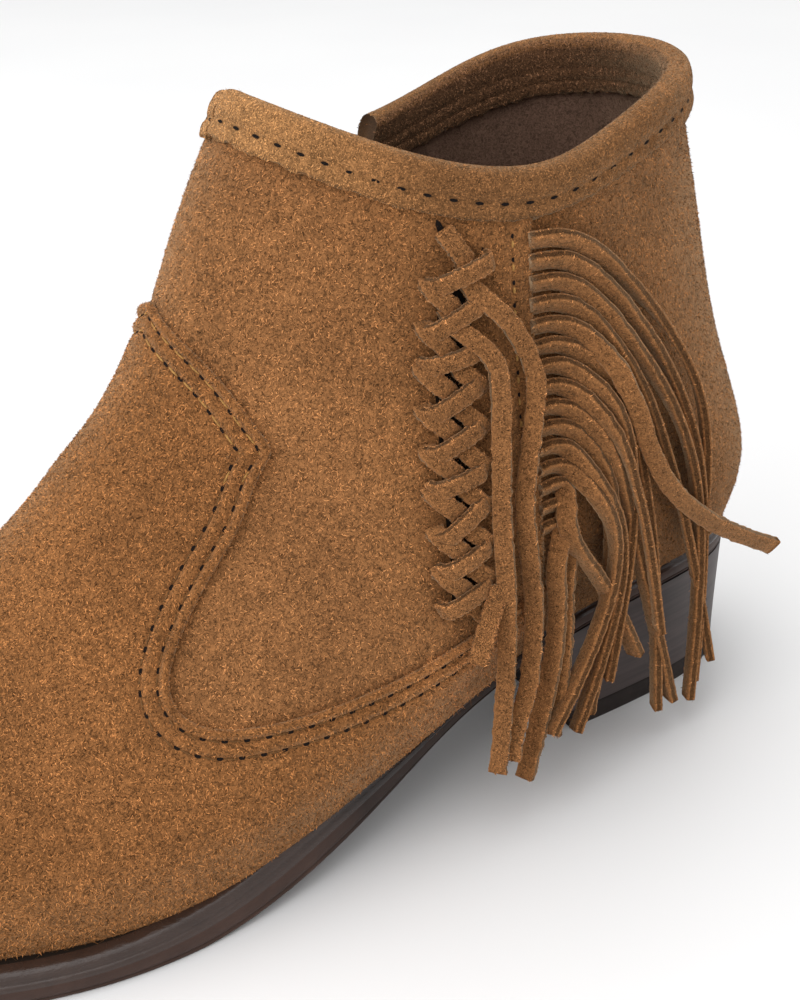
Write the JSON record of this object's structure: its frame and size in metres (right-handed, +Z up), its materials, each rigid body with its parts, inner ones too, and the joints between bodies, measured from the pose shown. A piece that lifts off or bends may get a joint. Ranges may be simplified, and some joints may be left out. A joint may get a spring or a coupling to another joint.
{
  "type": "moccasin boot",
  "caption": "Low suede moccasin boot for the left foot: raised scalloped vamp seam, bound collar, side braid with fringe, inner zip, low block heel.",
  "frame": {"origin": "middle of the heel's bottom face, on the floor", "axes": "+X to the toe, +Y to the outer side of the left boot, +Z up"},
  "size_m": [0.264, 0.0985, 0.1465],
  "materials": {
    "suede": "napped camel suede",
    "outsole": "smooth dark brown, half gloss",
    "heel": "stacked look, half gloss",
    "insole": "smooth lining leather",
    "zip_tape": "woven tape with coil",
    "zip_metal": "aged brass"
  },
  "bodies": {
    "root": {"outsole": "outsole", "heel": "heel", "heel_top_lift": "outsole", "insole": "insole", "upper": "suede", "vamp": "suede", "collar_binding": "suede", "zip": "zip_tape", "zip_slider": "zip_metal", "zip_pull": "suede", "braid": "suede", "fringe": "suede", "lace_end_rear": "suede", "lace_end_front": "suede", "lace_end_short": "suede"}
  },
  "joints": []
}
